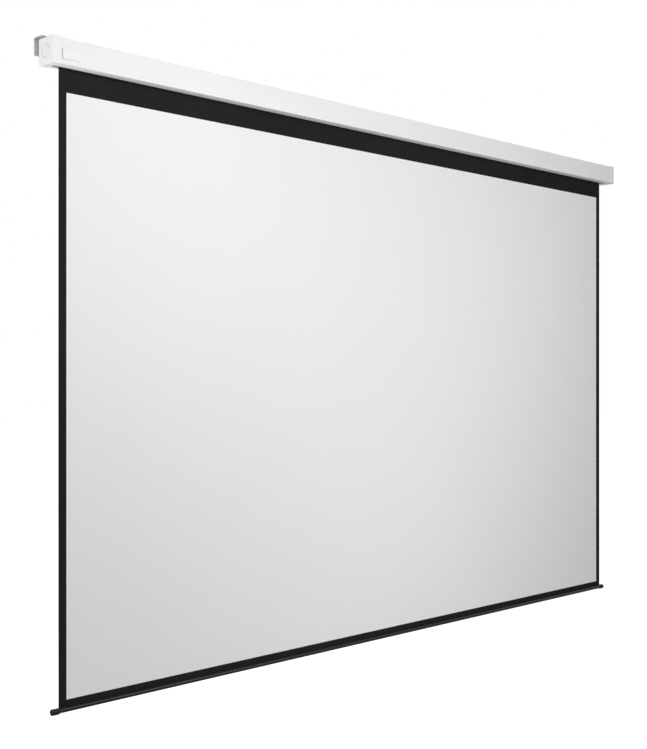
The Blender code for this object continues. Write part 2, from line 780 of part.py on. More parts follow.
def make_roller():
    """The tube that the sheet winds on, the wound end of the sheet and the strip that holds it."""
    pivot = (0.0, axis_y, axis_z)
    aluminium = finish("roller_aluminium", (0.75, 0.76, 0.77), 0.35, 0.9)
    inner = roller_radius - ROLLER_WALL
    tube = add(
        "roller_tube",
        turned(ring(inner, roller_radius, -roller_half, roller_half), axis_y, axis_z, 1, WIDE_ROUND),
        aluminium,
        pivot,
        smooth=True,
    )
    groove_low = axis_z + roller_radius - GROOVE_DEPTH
    half_groove = GROOVE_WIDTH / 2
    groove = block(
        (-roller_half - GROOVE_WIDTH, axis_y - half_groove, groove_low),
        (roller_half + GROOVE_WIDTH, axis_y + half_groove, axis_z + roller_radius + GROOVE_DEPTH),
    )
    combine(tube, cutter("roller_groove", groove))
    strip = block(
        (-sheet_half, axis_y - STRIP_WIDTH / 2, groove_low + GAP / 2),
        (sheet_half, axis_y + STRIP_WIDTH / 2, groove_low + GAP / 2 + STRIP_THICKNESS),
    )
    add("sheet_clamp_strip", strip, finish("strip_plastic", (0.1, 0.1, 0.1), 0.5), pivot)
    wound_inner = roller_radius + GAP
    wound = ring(wound_inner, wound_inner + WOUND_LAYER, -sheet_half, sheet_half)
    add(
        "wound_sheet",
        turned(wound, axis_y, axis_z, 1, WIDE_ROUND),
        finish("wound_vinyl", (0.03, 0.03, 0.03), 0.7),
        pivot,
        smooth=True,
    )


def make_sheet():
    """The sheet in one piece, black behind and round the white picture."""
    look = finish("sheet_vinyl", (0.88, 0.88, 0.87), 0.9)
    outline = thick_line(sheet_path(), SHEET_THICKNESS)
    add("screen_sheet", prism(outline, -sheet_half, sheet_half), look)


def motor_stack():
    """Where each piece of the motor starts and ends along X, as distances from the middle."""
    places = {}
    tube_end = roller_half + 2 * GAP + PLUG_FLANGE
    places["head_inner"] = tube_end
    places["head_outer"] = plate_inner - GAP
    x = tube_end - MOTOR_NECK_LENGTH
    places["neck_end"] = x
    for name, length in (
        ("switch_block", SWITCH_BLOCK_LENGTH),
        ("capacitor", CAPACITOR_LENGTH),
        ("rear_shield", SHIELD_LENGTH),
        ("stator", STATOR_LENGTH),
        ("front_shield", SHIELD_LENGTH),
        ("brake", BRAKE_LENGTH),
        ("brake_disc", BRAKE_DISC_THICKNESS),
        ("gearbox", GEARBOX_LENGTH),
    ):
        start = x - GAP
        places[name] = (start - length, start)
        x = start - length
    places["tube_inner_end"] = x - GAP
    return places


def make_motor():
    """The tubular motor: a fixed head and tube with all that turns the roller inside."""
    stack = motor_stack()
    black = finish("motor_black_plastic", (0.04, 0.04, 0.04), 0.5)
    steel = finish("motor_steel", (0.5, 0.5, 0.5), 0.4, 0.9)

    head_radius = MOTOR_TUBE_RADIUS + MOTOR_HEAD_RIM
    boss_end = stack["head_outer"] + GAP + PLATE_THICKNESS + MOTOR_BOSS_LENGTH
    lead_bore = LEAD_RADIUS + GAP
    lead_seat = boss_end - MOTOR_BOSS_LENGTH
    head = [
        (stack["neck_end"], 0.0),
        (stack["neck_end"], motor_fit),
        (stack["head_inner"] - GAP, motor_fit),
        (stack["head_inner"] - GAP, head_radius),
        (stack["head_outer"], head_radius),
        (stack["head_outer"], motor_boss_radius),
        (boss_end, motor_boss_radius),
        (boss_end, lead_bore),
        (lead_seat, lead_bore),
        (lead_seat, 0.0),
    ]
    motor_head = add("motor_head", turned(head, axis_y, axis_z, -1), black, smooth=True)
    screw_hole = LIMIT_SCREW_RADIUS + GAP
    screw_start = plate_outer + LIMIT_SCREW_PROUD
    screw_end = screw_start - LIMIT_SCREW_LENGTH
    sockets = [
        turned(rod(screw_hole, screw_end - GAP, plate_outer), y, z, -1, SMALL_ROUND)
        for y, z in limit_screw_places()
    ]
    screw_tip = plate_outer + GAP - HEAD_SCREW_LENGTH
    for number, (y, z) in enumerate(head_screw_places(), 1):
        socket = rod(PLATE_SCREW_RADIUS + GAP, screw_tip - GAP, plate_outer)
        sockets.append(turned(socket, y, z, -1, SMALL_ROUND))
        add_plate_screw(f"motor_head_screw_{number}", y, z, -1, HEAD_SCREW_LENGTH)
    combine(motor_head, cutter("motor_head_sockets", merge(sockets)))
    for name, (y, z) in zip(("upper_limit_screw", "lower_limit_screw"), limit_screw_places()):
        profile = rod(LIMIT_SCREW_RADIUS, screw_end, screw_start)
        screw = add(
            name,
            turned(profile, y, z, -1, SMALL_ROUND),
            finish(name + "_plastic", (0.85, 0.75, 0.1) if "upper" in name else (0.9, 0.9, 0.9), 0.5),
            (-screw_start, y, z),
            smooth=True,
        )
        slot_half = LIMIT_SCREW_SLOT / 2
        slot = block(
            (-screw_start - LIMIT_SCREW_SLOT, y - 2 * LIMIT_SCREW_RADIUS, z - slot_half),
            (-screw_start + LIMIT_SCREW_SLOT, y + 2 * LIMIT_SCREW_RADIUS, z + slot_half),
        )
        combine(screw, cutter(name + "_slot", slot))

    tube = ring(
        MOTOR_TUBE_RADIUS - MOTOR_TUBE_WALL, MOTOR_TUBE_RADIUS,
        stack["tube_inner_end"], stack["head_inner"] - 2 * GAP,
    )
    add("motor_tube", turned(tube, axis_y, axis_z, -1), steel, smooth=True)

    low, high = stack["switch_block"]
    half_height = SWITCH_BLOCK_HEIGHT / 2
    edge = math.degrees(math.asin(half_height / motor_fit))
    section = arc(axis_y, axis_z, motor_fit, -edge, edge, 6)
    section += arc(axis_y, axis_z, motor_fit, 180 - edge, 180 + edge, 6)
    add("limit_switch_block", prism(section, -high, -low), finish("switch_plastic", (0.7, 0.7, 0.65), 0.5))

    low, high = stack["capacitor"]
    can = rod(motor_fit - CAPACITOR_ROOM, low, high)
    add(
        "run_capacitor",
        turned(can, axis_y, axis_z - CAPACITOR_ROOM, -1),
        finish("capacitor_can", (0.75, 0.75, 0.72), 0.4),
        smooth=True,
    )

    shaft_hole = ROTOR_SHAFT_RADIUS + GAP
    bush_outer = shaft_hole + ROTOR_BUSH_WALL
    for name in ("rear_shield", "front_shield"):
        low, high = stack[name]
        add(
            "motor_" + name,
            turned(ring(bush_outer + GAP, motor_fit, low, high), axis_y, axis_z, -1),
            finish(name + "_zinc", (0.6, 0.6, 0.6), 0.5, 0.8),
            smooth=True,
        )
        bush_name = name.replace("shield", "rotor_bush")
        add(
            bush_name,
            turned(ring(shaft_hole, bush_outer, low, high), axis_y, axis_z, -1),
            finish(bush_name + "_bronze", (0.6, 0.42, 0.2), 0.4, 0.9),
            smooth=True,
        )
    low, high = stack["stator"]
    stator_bore = motor_fit - STATOR_WALL
    add(
        "motor_stator",
        turned(ring(stator_bore, motor_fit, low, high), axis_y, axis_z, -1),
        finish("stator_steel", (0.35, 0.33, 0.32), 0.5, 0.7),
        smooth=True,
    )
    low, high = stack["brake"]
    add(
        "motor_brake",
        turned(ring(BRAKE_BORE, motor_fit, low, high), axis_y, axis_z, -1),
        finish("brake_black", (0.08, 0.08, 0.08), 0.5),
        smooth=True,
    )

    pivot = (-stack["stator"][1], axis_y, axis_z)
    low, high = stack["stator"]
    rotor = ring(shaft_hole, stator_bore - ROTOR_AIR_GAP, low + GAP, high - GAP)
    add(
        "motor_rotor",
        turned(rotor, axis_y, axis_z, -1),
        finish("rotor_steel", (0.45, 0.45, 0.45), 0.4, 0.8),
        pivot,
        smooth=True,
    )
    low, high = stack["brake_disc"]
    add(
        "brake_disc",
        turned(ring(shaft_hole, motor_fit - BRAKE_DISC_ROOM, low, high), axis_y, axis_z, -1),
        finish("brake_lining", (0.2, 0.17, 0.15), 0.8),
        pivot,
        smooth=True,
    )
    shaft_low = stack["gearbox"][1] - GEARBOX_BORE_DEPTH + GAP
    add(
        "rotor_shaft",
        turned(rod(ROTOR_SHAFT_RADIUS, shaft_low, stack["rear_shield"][1]), axis_y, axis_z, -1, SMALL_ROUND),
        finish("rotor_shaft_steel", (0.6, 0.6, 0.6), 0.3, 1.0),
        pivot,
        smooth=True,
    )

    low, high = stack["gearbox"]
    output_bore = OUTPUT_SHAFT_RADIUS + GAP
    gearbox = [
        (low + GEARBOX_BORE_DEPTH, 0.0),
        (low + GEARBOX_BORE_DEPTH, output_bore),
        (low, output_bore),
        (low, motor_fit),
        (high, motor_fit),
        (high, shaft_hole),
        (high - GEARBOX_BORE_DEPTH, shaft_hole),
        (high - GEARBOX_BORE_DEPTH, 0.0),
    ]
    add(
        "gearbox",
        turned(gearbox, axis_y, axis_z, -1),
        finish("gearbox_zinc", (0.5, 0.5, 0.52), 0.45, 0.8),
        smooth=True,
    )

    pivot = (-roller_half, axis_y, axis_z)
    shaft_high = low + GEARBOX_BORE_DEPTH - GAP
    shaft_low = shaft_high - OUTPUT_SHAFT_LENGTH
    add(
        "output_shaft",
        turned(rod(OUTPUT_SHAFT_RADIUS, shaft_low, shaft_high), axis_y, axis_z, -1, SMALL_ROUND),
        finish("output_shaft_steel", (0.6, 0.6, 0.6), 0.3, 1.0),
        pivot,
        smooth=True,
    )
    roller_fit = roller_radius - ROLLER_WALL - GAP
    clip_start = shaft_low + SHAFT_BEYOND_CLIP
    clip_end = clip_start + SHAFT_CLIP_THICKNESS
    add(
        "shaft_clip",
        turned(ring(output_bore, output_bore + SHAFT_CLIP_WALL, clip_start, clip_end), axis_y, axis_z, -1),
        finish("clip_spring_steel", (0.2, 0.2, 0.2), 0.4, 0.9),
        pivot,
        smooth=True,
    )
    wheel_start = clip_end + GAP
    wheel = ring(output_bore, roller_fit, wheel_start, wheel_start + DRIVE_WHEEL_LENGTH)
    add(
        "drive_wheel",
        turned(wheel, axis_y, axis_z, -1, WIDE_ROUND),
        finish("drive_wheel_nylon", (0.1, 0.1, 0.1), 0.5),
        pivot,
        smooth=True,
    )
    crown = ring(MOTOR_TUBE_RADIUS + GAP, roller_fit, roller_half - CROWN_LENGTH, roller_half)
    add(
        "crown_ring",
        turned(crown, axis_y, axis_z, -1, WIDE_ROUND),
        finish("crown_nylon", (0.85, 0.85, 0.83), 0.5),
        pivot,
        smooth=True,
    )


def spring_shape(x_start, x_end):
    """A coil of round wire about the roller's axis, with closed ends."""
    per_turn = 14
    sides = 6
    count = SPRING_TURNS * per_turn
    shape = bmesh.new()
    rings = []
    for i in range(count + 1):
        turn = math.tau * i / per_turn
        x = x_start + SPRING_WIRE + (x_end - x_start - 2 * SPRING_WIRE) * i / count
        out = Vector((0.0, math.cos(turn), math.sin(turn)))
        centre = Vector((x, axis_y, axis_z)) + out * SPRING_RADIUS
        wire = []
        for k in range(sides):
            around = math.tau * k / sides
            offset = out * math.cos(around) + Vector((1.0, 0.0, 0.0)) * math.sin(around)
            wire.append(shape.verts.new(centre + offset * SPRING_WIRE))
        rings.append(wire)
    for first, second in zip(rings, rings[1:]):
        for k in range(sides):
            after = (k + 1) % sides
            shape.faces.new((first[k], first[after], second[after], second[k]))
    shape.faces.new(rings[0])
    shape.faces.new(rings[-1][::-1])
    return shape


def make_idler():
    """The plug in the roller's right end, with its sprung pin in a bush in the end plate."""
    pivot = (roller_half, axis_y, axis_z)
    fit = roller_radius - ROLLER_WALL - GAP
    bore = PIN_HEAD_RADIUS + GAP
    plug_end = roller_half + GAP + PLUG_FLANGE
    plug_start = roller_half - PLUG_LENGTH
    plug = [
        (plug_start, 0.0),
        (plug_start, fit),
        (roller_half + GAP, fit),
        (roller_half + GAP, roller_radius),
        (plug_end, roller_radius),
        (plug_end, bore),
        (plug_start + PLUG_FLOOR, bore),
        (plug_start + PLUG_FLOOR, 0.0),
    ]
    add(
        "idler_plug",
        turned(plug, axis_y, axis_z),
        finish("idler_nylon", (0.08, 0.08, 0.08), 0.5),
        pivot,
        smooth=True,
    )
    ring_start = plug_end - STOP_RING_THICKNESS
    running = PIN_RADIUS + PIN_RUNNING_GAP
    add(
        "idler_stop_ring",
        turned(ring(running, PIN_HEAD_RADIUS, ring_start, plug_end), axis_y, axis_z),
        finish("stop_ring_steel", (0.6, 0.6, 0.6), 0.4, 0.9),
        pivot,
        smooth=True,
    )
    head_end = ring_start - GAP
    head_start = head_end - PIN_HEAD_LENGTH
    tip = plate_outer + PIN_REACH
    pin = [
        (head_start, 0.0),
        (head_start, PIN_HEAD_RADIUS),
        (head_end, PIN_HEAD_RADIUS),
        (head_end, PIN_RADIUS),
        (tip - GAP, PIN_RADIUS),
        (tip, PIN_RADIUS - GAP),
        (tip, 0.0),
    ]
    add(
        "idler_pin",
        turned(pin, axis_y, axis_z),
        finish("pin_steel", (0.6, 0.6, 0.6), 0.3, 1.0),
        (head_start, axis_y, axis_z),
        smooth=True,
    )
    add(
        "idler_spring",
        spring_shape(plug_start + PLUG_FLOOR + GAP, head_start - GAP),
        finish("spring_steel", (0.5, 0.5, 0.5), 0.35, 1.0),
        pivot,
        smooth=True,
    )
    outer = running + BUSH_WALL
    bush = [
        (plate_inner, running),
        (plate_inner, outer),
        (plate_outer + GAP, outer),
        (plate_outer + GAP, outer + BUSH_FLANGE),
        (plate_outer + GAP + BUSH_FLANGE_THICKNESS, outer + BUSH_FLANGE),
        (plate_outer + GAP + BUSH_FLANGE_THICKNESS, running),
    ]
    add(
        "idler_bush",
        turned(bush, axis_y, axis_z),
        finish("bush_nylon", (0.9, 0.9, 0.88), 0.5),
        smooth=True,
    )
    make_end_plate("idler_end_plate", 1, outer + GAP)


def make_supply(left_cap):
    """The inlet in the back of the left cap, the terminal block and the short lead to the motor."""
    grommet_x = -(plate_outer + cap_outer_face - CAP_WALL) / 2 - GAP
    grommet_z = cap_bottom + GROMMET_ABOVE_BOTTOM
    hole = GROMMET_BORE + GROMMET_WALL + GAP
    beyond = 2 * CAP_WALL
    opening = [
        (cap_back + beyond, 0.0),
        (cap_back + beyond, hole),
        (cap_back - beyond, hole),
        (cap_back - beyond, 0.0),
    ]
    combine(left_cap, cutter("inlet_hole", turned_back(opening, grommet_x, grommet_z)))
    sleeve = GROMMET_BORE + GROMMET_WALL
    flange_start = cap_back - CAP_WALL - GAP
    flange_end = flange_start - GROMMET_FLANGE_THICKNESS
    grommet = [
        (cap_back, GROMMET_BORE),
        (cap_back, sleeve),
        (flange_start, sleeve),
        (flange_start, sleeve + GROMMET_FLANGE),
        (flange_end, sleeve + GROMMET_FLANGE),
        (flange_end, GROMMET_BORE),
    ]
    add(
        "inlet_grommet",
        turned_back(grommet, grommet_x, grommet_z),
        finish("grommet_rubber", (0.05, 0.05, 0.05), 0.7),
        smooth=True,
    )

    stack = motor_stack()
    lead_x = stack["head_outer"] + GAP + PLATE_THICKNESS + GAP
    block_low = cap_bottom + CAP_WALL + GAP
    block_x = plate_outer + PLATE_SCREW_HEAD_HEIGHT + 3 * GAP
    block_front = low_tab_y + CAP_LOW_TAB_WIDTH / 2 + GAP
    terminal = add(
        "terminal_block",
        block(
            (-block_x - TERMINAL_LENGTH, block_front, block_low),
            (-block_x, block_front + TERMINAL_DEPTH, block_low + TERMINAL_HEIGHT),
        ),
        finish("terminal_plastic", (0.85, 0.85, 0.83), 0.5),
    )
    wells = []
    well_x = -block_x - TERMINAL_LENGTH / 2
    top = block_low + TERMINAL_HEIGHT
    for number in (1, 2):
        floor = top - TERMINAL_WELL_DEPTH
        radius = TERMINAL_SCREW_RADIUS
        well = [(top + GAP, 0.0), (top + GAP, radius), (floor, radius), (floor, 0.0)]
        wells.append(turned_down(well, well_x, axis_y + number * TERMINAL_PITCH, SMALL_ROUND))
    combine(terminal, cutter("terminal_wells", merge(wells)))

    bend = Vector((-lead_x - MOTOR_BOSS_LENGTH - 2 * GAP, axis_y, axis_z - LEAD_BEND))
    route = [Vector((-lead_x, axis_y, axis_z))]
    for step in range(LEAD_BEND_STEPS + 1):
        angle = math.radians(90 * step / LEAD_BEND_STEPS)
        route.append(bend + LEAD_BEND * Vector((-math.sin(angle), 0.0, math.cos(angle))))
    route.append(Vector((bend.x - LEAD_BEND, axis_y, top + GAP)))
    lead = bpy.data.curves.new("motor_lead", "CURVE")
    lead.dimensions = "3D"
    lead.bevel_depth = LEAD_RADIUS
    lead.bevel_resolution = 2
    lead.use_fill_caps = True
    line = lead.splines.new("POLY")
    line.points.add(len(route) - 1)
    for point, place in zip(line.points, route):
        point.co = (*place, 1.0)
    cable = bpy.data.objects.new("motor_lead", lead)
    lead.materials.append(finish("lead_black", (0.03, 0.03, 0.03), 0.5))
    bpy.context.scene.collection.objects.link(cable)


def make_bar():
    """The round weight bar, slotted on top for the sheet, with its rod and two end sleeves."""
    pivot = (0.0, sheet_y, bar_z)
    black = finish("bar_black_paint", (0.02, 0.02, 0.02), 0.3)
    bar_half = sheet_half + BAR_CAP_LENGTH - BAR_CAP_WALL - GAP
    inner = BAR_RADIUS - BAR_WALL
    outer_gap = math.degrees(math.asin(BAR_SLOT / 2 / BAR_RADIUS))
    inner_gap = math.degrees(math.asin(BAR_SLOT / 2 / inner))
    outline = arc(sheet_y, bar_z, BAR_RADIUS, 90 + outer_gap, 450 - outer_gap, 28)
    outline += arc(sheet_y, bar_z, inner, 450 - inner_gap, 90 + inner_gap, 24)
    add("weight_bar", prism(outline, -bar_half, bar_half), black, pivot, smooth=True)
    rod_half = sheet_half - ROD_SHORT_OF_SHEET
    add(
        "hem_rod",
        turned(rod(ROD_RADIUS, -rod_half, rod_half), sheet_y, rod_centre(), 1, SMALL_ROUND),
        finish("rod_steel", (0.5, 0.5, 0.5), 0.4, 0.9),
        pivot,
        smooth=True,
    )
    start = sheet_half + GAP
    end = sheet_half + BAR_CAP_LENGTH
    bore = BAR_RADIUS + GAP
    edge = BAR_CAP_EDGE
    in_from_corner = edge * (1 - math.sqrt(0.5))
    profile = [
        (start, bore),
        (start, BAR_CAP_RADIUS),
        (end - edge, BAR_CAP_RADIUS),
        (end - in_from_corner, BAR_CAP_RADIUS - in_from_corner),
        (end, BAR_CAP_RADIUS - edge),
        (end, 0.0),
        (end - BAR_CAP_WALL, 0.0),
        (end - BAR_CAP_WALL, bore),
    ]
    closed = profile[5::-1] + profile[:5:-1]
    for name, side in (("left_bar_cap", -1), ("right_bar_cap", 1)):
        add(
            name,
            turned(closed, sheet_y, bar_z, side),
            finish(name + "_plastic", (0.015, 0.015, 0.015), 0.35),
            pivot,
            smooth=True,
        )


def build():
    clear_scene()
    make_case()
    make_lips()
    left_cap = make_cap("left_end_cap", -1)
    make_cap("right_end_cap", 1)
    make_cover("left_pin_cover", -1)
    make_cover("right_pin_cover", 1)
    make_badge()
    make_bracket("left_bracket", -1)
    make_bracket("right_bracket", 1)
    access = [(y, z, limit_screw_access) for y, z in limit_screw_places()]
    access += [(y, z, PLATE_SCREW_HOLE) for y, z in head_screw_places()]
    make_end_plate("motor_end_plate", -1, motor_boss_radius + GAP, access)
    make_roller()
    make_sheet()
    make_motor()
    make_idler()
    make_supply(left_cap)
    make_bar()


build()
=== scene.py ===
import math

import bmesh
import bpy
from mathutils import Euler, Matrix, Vector


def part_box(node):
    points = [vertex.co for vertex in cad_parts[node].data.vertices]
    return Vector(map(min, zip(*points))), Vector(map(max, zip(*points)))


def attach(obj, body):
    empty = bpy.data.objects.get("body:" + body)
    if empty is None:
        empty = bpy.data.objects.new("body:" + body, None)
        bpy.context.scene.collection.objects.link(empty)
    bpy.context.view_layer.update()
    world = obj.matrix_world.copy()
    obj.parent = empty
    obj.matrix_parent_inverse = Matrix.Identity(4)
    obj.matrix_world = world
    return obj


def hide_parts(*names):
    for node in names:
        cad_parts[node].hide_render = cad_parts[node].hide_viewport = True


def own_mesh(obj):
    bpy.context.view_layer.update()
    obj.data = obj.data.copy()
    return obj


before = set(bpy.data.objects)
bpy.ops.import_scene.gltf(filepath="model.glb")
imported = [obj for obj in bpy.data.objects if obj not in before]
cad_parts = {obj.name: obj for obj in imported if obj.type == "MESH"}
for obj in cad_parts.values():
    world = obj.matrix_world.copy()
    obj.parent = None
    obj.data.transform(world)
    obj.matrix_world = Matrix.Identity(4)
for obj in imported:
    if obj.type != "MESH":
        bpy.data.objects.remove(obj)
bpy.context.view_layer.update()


# The case
# One white powder-coated aluminium extrusion, open along a slot below, with a rail in its top
# for the bracket nuts and three screw ports for the end plates. Cut square at both ends.
CASE_WHITE = (0.87, 0.872, 0.875)


def joined(node):
    """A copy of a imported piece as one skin: its loose triangles joined and its flats whole."""
    work = bmesh.new()
    work.from_mesh(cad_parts[node].data)
    bmesh.ops.remove_doubles(work, verts=work.verts, dist=2e-6)
    bmesh.ops.dissolve_limit(work, angle_limit=0.004, verts=work.verts, edges=work.edges, delimit=set())
    for face in work.faces:
        face.material_index = 0
    return work


def soften(work, chosen, width, segments=4):
    """Rounds the chosen edges."""
    bmesh.ops.bevel(
        work,
        geom=chosen,
        offset=width,
        offset_type="OFFSET",
        segments=segments,
        profile=0.5,
        affect="EDGES",
        material=-1,
        clamp_overlap=True,
    )


def finished(work, name, look, body, node, angle=32):
    """Turns a shape into a piece that rides on a body and stands for a packed one.

    Its roundings are shaded smooth, and edges sharper than the angle stay sharp.
    """
    mesh = bpy.data.meshes.new(name)
    work.to_mesh(mesh)
    work.free()
    if "custom_normal" in mesh.attributes:
        mesh.attributes.remove(mesh.attributes["custom_normal"])
    mesh.materials.append(look)
    mesh.shade_smooth()
    mesh.set_sharp_from_angle(angle=math.radians(angle))
    piece = bpy.data.objects.new(name, mesh)
    bpy.context.scene.collection.objects.link(piece)
    even = piece.modifiers.new("even", "WEIGHTED_NORMAL")
    even.mode = "FACE_AREA"
    even.weight = 60
    even.keep_sharp = True
    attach(piece, body)
    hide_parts(node)
    return piece


def refined(node, name, look, body):
    """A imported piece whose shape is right, with its roundings smooth."""
    return finished(joined(node), name, look, body, node)


def start_look(name, colour, roughness, metallic=0.0, gloss=0.5):
    """A new material with its shader and the object's own coordinates."""
    look = bpy.data.materials.new(name)
    look.use_nodes = True
    tree = look.node_tree
    shader = tree.nodes["Principled BSDF"]
    shader.inputs["Base Color"].default_value = (*colour, 1.0)
    shader.inputs["Roughness"].default_value = roughness
    shader.inputs["Metallic"].default_value = metallic
    shader.inputs["Specular IOR Level"].default_value = gloss
    place = tree.nodes.new("ShaderNodeTexCoord")
    return look, tree, shader, place.outputs["Object"]


def noise(tree, place, size, detail=2.0, stretch=(1.0, 1.0, 1.0), roughness=0.5):
    """Noise whose grains are about size metres across, drawn out along an axis by stretch."""
    turn = tree.nodes.new("ShaderNodeMapping")
    turn.inputs["Scale"].default_value = [1.0 / (size * s) for s in stretch]
    grain = tree.nodes.new("ShaderNodeTexNoise")
    grain.inputs["Scale"].default_value = 1.0
    grain.inputs["Detail"].default_value = detail
    grain.inputs["Roughness"].default_value = roughness
    tree.links.new(place, turn.inputs["Vector"])
    tree.links.new(turn.outputs["Vector"], grain.inputs["Vector"])
    return grain.outputs["Fac"]


def tint(tree, shader, fac, colour, change):
    """Lets the colour drift a little between a darker and a lighter tone."""
    ramp = tree.nodes.new("ShaderNodeValToRGB")
    ends = ramp.color_ramp.elements
    ends[0].position = 0.35
    ends[1].position = 0.65
    ends[0].color = (*[max(c * (1.0 - change), 0.0) for c in colour], 1.0)
    ends[1].color = (*[min(c * (1.0 + change), 1.0) for c in colour], 1.0)
    tree.links.new(fac, ramp.inputs["Fac"])
    tree.links.new(ramp.outputs["Color"], shader.inputs["Base Color"])


def vary_roughness(tree, shader, fac, low, high):
    """Lets the surface drift between a smoother and a rougher state."""
    span = tree.nodes.new("ShaderNodeMapRange")
    span.inputs["From Min"].default_value = 0.3
    span.inputs["From Max"].default_value = 0.7
    span.inputs["To Min"].default_value = low
    span.inputs["To Max"].default_value = high
    tree.links.new(fac, span.inputs["Value"])
    tree.links.new(span.outputs["Result"], shader.inputs["Roughness"])


def raise_grain(tree, shader, fac, height, strength):
    """Raises the surface by up to a height in metres."""
    bump = tree.nodes.new("ShaderNodeBump")
    bump.inputs["Strength"].default_value = strength
    bump.inputs["Distance"].default_value = height
    tree.links.new(fac, bump.inputs["Height"])
    tree.links.new(bump.outputs["Normal"], shader.inputs["Normal"])


def powder_coat(name, colour, roughness, gloss=0.5, peel=0.0022, height=0.00006):
    """Baked paint with the soft ripple of orange peel and a fine dry grain."""
    look, tree, shader, place = start_look(name, colour, roughness, 0.0, gloss)
    ripple = noise(tree, place, peel, 3.0)
    tint(tree, shader, noise(tree, place, 0.12, 2.0, (4.0, 1.0, 1.0)), colour, 0.012)
    vary_roughness(tree, shader, noise(tree, place, 0.0009, 2.0), roughness - 0.06, roughness + 0.06)
    raise_grain(tree, shader, ripple, height, 0.5)
    return look


case_paint = powder_coat("case_white_paint_look", CASE_WHITE, 0.46, 0.3)
refined("case_shell", "case_profile", case_paint, "case")


# The lips of the slot
# Two long grey plastic mouldings clipped over the edges of the slot. The sheet runs down over the
# rounded nose of the one behind it, and the one in front keeps the metal edge off the picture.
LIP_GREY = (0.36, 0.36, 0.37)


def moulded(name, colour, roughness, grain=0.0005, height=0.00004, drift=0.015, gloss=0.5):
    """Moulded plastic: a fine spark-eroded grain and a slight unevenness of gloss."""
    look, tree, shader, place = start_look(name, colour, roughness, 0.0, gloss)
    tint(tree, shader, noise(tree, place, 0.03, 2.0), colour, drift)
    fine = noise(tree, place, grain, 2.0)
    vary_roughness(tree, shader, noise(tree, place, grain * 6.0, 2.0), roughness - 0.05, roughness + 0.07)
    raise_grain(tree, shader, fine, height, 0.5)
    return look


lip_look = moulded("lip_grey_look", LIP_GREY, 0.5)
refined("slot_guide", "guide_lip", lip_look, "case")
refined("front_lip", "front_edge_lip", lip_look, "case")


# The end caps
# White ABS mouldings, a little larger than the case all round, pushed on over its ends with four
# tongues. The outer face is flat with a soft rim and has a round hole over the roller's pin.
CAP_WHITE = (0.865, 0.865, 0.86)
PIN_HOLE_EDGE = 0.0005
PIN_HOLE_ROOM = 0.001


def ring_at(work, x, middle, radius, give=1e-5):
    """The edges of a ring about the X axis through middle, at one place along it."""

    def on_ring(point):
        return abs(point.co.x - x) < 1e-5 and abs((point.co - middle).yz.length - radius) < give

    return [edge for edge in work.edges if all(on_ring(point) for point in edge.verts)]


cap_look = moulded("cap_white_look", CAP_WHITE, 0.38, 0.0007, 0.00005, 0.008)
for hand in ("left", "right"):
    low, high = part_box(hand + "_pin_cover")
    middle = (low + high) / 2
    radius = (high.z - low.z) / 2
    low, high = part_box(hand + "_end_cap")
    face_x = high.x if hand == "right" else low.x
    cap = joined(hand + "_end_cap")
    soften(cap, ring_at(cap, face_x, middle, radius, PIN_HOLE_ROOM), PIN_HOLE_EDGE, 3)
    finished(cap, hand + "_cap_moulding", cap_look, "case", hand + "_end_cap")


# The pin covers
# A round white button snapped into the hole of each end cap, flush with the cap's face. Only the
# fine dark ring of the gap around it shows.
COVER_RIM = 0.0006
COVER_GAP = 0.0009
COVER_FACE_WALL = 0.0022
COVER_SIDE_WALL = 0.0015
ROUND_STEPS = 96


def turned_piece(profile, centre):
    """Spins a profile of (place along X, radius) points about the X axis through centre."""
    work = bmesh.new()
    points = [work.verts.new((x, centre.y + radius, centre.z)) for x, radius in profile]
    edges = [work.edges.new(pair) for pair in zip(points, points[1:])]
    bmesh.ops.spin(
        work,
        geom=points + edges,
        cent=centre,
        axis=(1, 0, 0),
        angle=math.tau,
        steps=ROUND_STEPS,
        use_merge=True,
    )
    bmesh.ops.remove_doubles(work, verts=work.verts, dist=1e-6)
    bmesh.ops.recalc_face_normals(work, faces=work.faces)
    return work


for side, hand in ((-1, "left"), (1, "right")):
    low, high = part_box(hand + "_pin_cover")
    middle = (low + high) / 2
    radius = (high.z - low.z) / 2 - COVER_GAP
    outer = high.x if side > 0 else low.x
    inner = low.x if side > 0 else high.x
    back = outer - side * COVER_FACE_WALL
    bore = radius - COVER_SIDE_WALL
    button = turned_piece(
        [(outer, 0.0), (outer, radius), (inner, radius), (inner, bore), (back, bore), (back, 0.0)],
        middle,
    )
    soften(button, ring_at(button, outer, middle, radius), COVER_RIM)
    bmesh.ops.recalc_face_normals(button, faces=button.faces)
    finished(button, hand + "_cover_button", cap_look, "case", hand + "_pin_cover")


# The badge plate
# A small bare plate of white satin plastic on the front of the case near its left end. Its corners
# are round, its front edge is softened, and nothing is printed on it. Its side faces are painted
# dark grey: painted shade that stands for the shadow line round its edges.
BADGE_CORNER = 0.003
BADGE_EDGE = 0.0003
badge_look = moulded("badge_plate_look", CASE_WHITE, 0.38, 0.0004, 0.00002, 0.006)
low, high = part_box("badge_plate")
plate = bmesh.new()
bmesh.ops.create_cube(plate, size=1.0)
bmesh.ops.scale(plate, verts=plate.verts, vec=high - low)
bmesh.ops.translate(plate, verts=plate.verts, vec=(low + high) / 2)
soften(plate, [e for e in plate.edges if abs(e.verts[0].co.y - e.verts[1].co.y) > 1e-5], BADGE_CORNER, 8)
soften(plate, [e for e in plate.edges if all(abs(v.co.y - low.y) < 1e-6 for v in e.verts)], BADGE_EDGE, 3)
bmesh.ops.recalc_face_normals(plate, faces=plate.faces)
# Its side faces get the dark grey: painted shade for the shadow line round the plate's edges.
for face in plate.faces:
    if abs(face.normal.y) < 0.3:
        face.material_index = 1
badge = finished(plate, "bare_badge", badge_look, "case", "badge_plate")
# The dark grey of the side faces is painted shade, for the shadow line round the plate.
badge.data.materials.append(moulded("badge_painted_shade_look", (0.22, 0.22, 0.22), 0.7, 0.0005, 0.00004, 0.1, 0.2))


